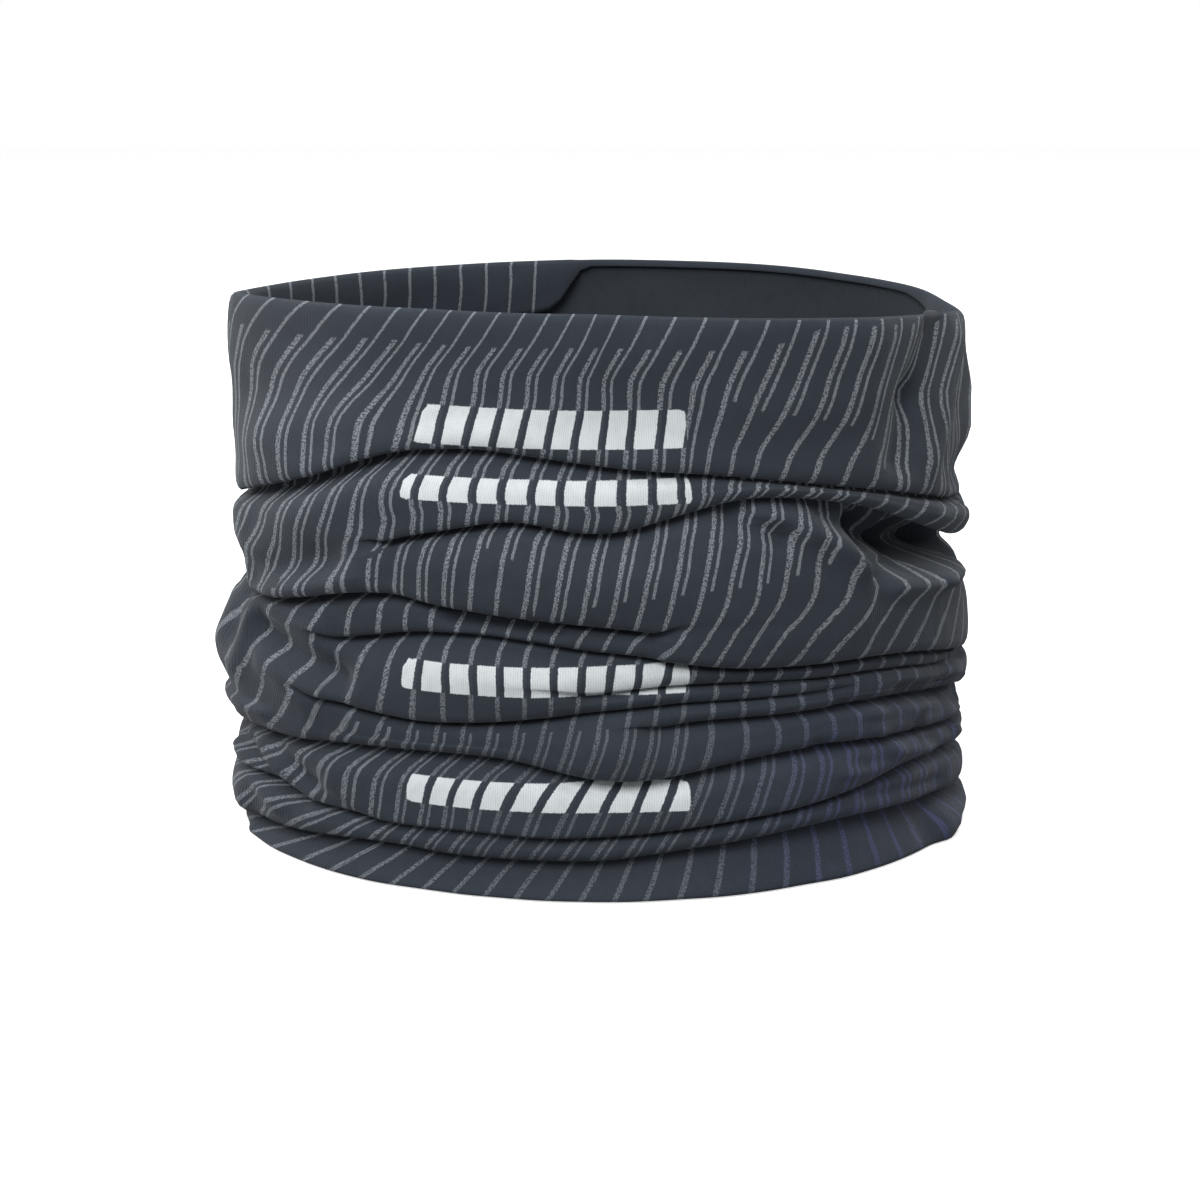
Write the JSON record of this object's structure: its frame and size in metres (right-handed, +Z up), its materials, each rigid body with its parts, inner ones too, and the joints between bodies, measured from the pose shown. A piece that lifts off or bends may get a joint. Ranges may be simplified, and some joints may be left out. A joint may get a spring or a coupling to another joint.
{
  "type": "neck gaiter",
  "caption": "Seamless stretch-knit tube worn round the neck, pushed down into rings of folds; its collar pulls up and the folds open.",
  "frame": {"origin": "on the ground plane under the middle of the neck opening, at the lower edge of the bottom band", "axes": "+Z up along the neck, -Y the front under the chin, +X to the right of someone facing the front"},
  "size_m": [0.1738, 0.1498, 0.125],
  "materials": {
    "printed_knit": "matte"
  },
  "bodies": {
    "neck_base": {"bottom_band": "printed_knit"},
    "bottom_ring": {"bottom_fold": "printed_knit"},
    "lower_ring": {"lower_fold": "printed_knit"},
    "middle_ring": {"middle_fold": "printed_knit"},
    "broad_ring": {"broad_fold": "printed_knit"},
    "upper_ring": {"upper_fold": "printed_knit"},
    "collar": {"collar_band": "printed_knit"}
  },
  "joints": [
    {"name": "collar_pull_up", "type": "slide", "parent": "neck_base", "child": "collar", "axis": [0, 0, 1], "range_m": [0, 0.096]},
    {"name": "upper_fold_lift", "type": "slide", "parent": "neck_base", "child": "upper_ring", "axis": [0, 0, 1], "range_m": [0, 0.0801]},
    {"name": "broad_fold_lift", "type": "slide", "parent": "neck_base", "child": "broad_ring", "axis": [0, 0, 1], "range_m": [0, 0.0641]},
    {"name": "middle_fold_lift", "type": "slide", "parent": "neck_base", "child": "middle_ring", "axis": [0, 0, 1], "range_m": [0, 0.0481]},
    {"name": "lower_fold_lift", "type": "slide", "parent": "neck_base", "child": "lower_ring", "axis": [0, 0, 1], "range_m": [0, 0.0321]},
    {"name": "bottom_fold_lift", "type": "slide", "parent": "neck_base", "child": "bottom_ring", "axis": [0, 0, 1], "range_m": [0, 0.0161]}
  ],
  "couplings": [
    {"joint": "upper_fold_lift", "follows": "collar_pull_up", "ratio": 0.8333},
    {"joint": "broad_fold_lift", "follows": "collar_pull_up", "ratio": 0.6667},
    {"joint": "middle_fold_lift", "follows": "collar_pull_up", "ratio": 0.5},
    {"joint": "lower_fold_lift", "follows": "collar_pull_up", "ratio": 0.3333},
    {"joint": "bottom_fold_lift", "follows": "collar_pull_up", "ratio": 0.1667}
  ]
}
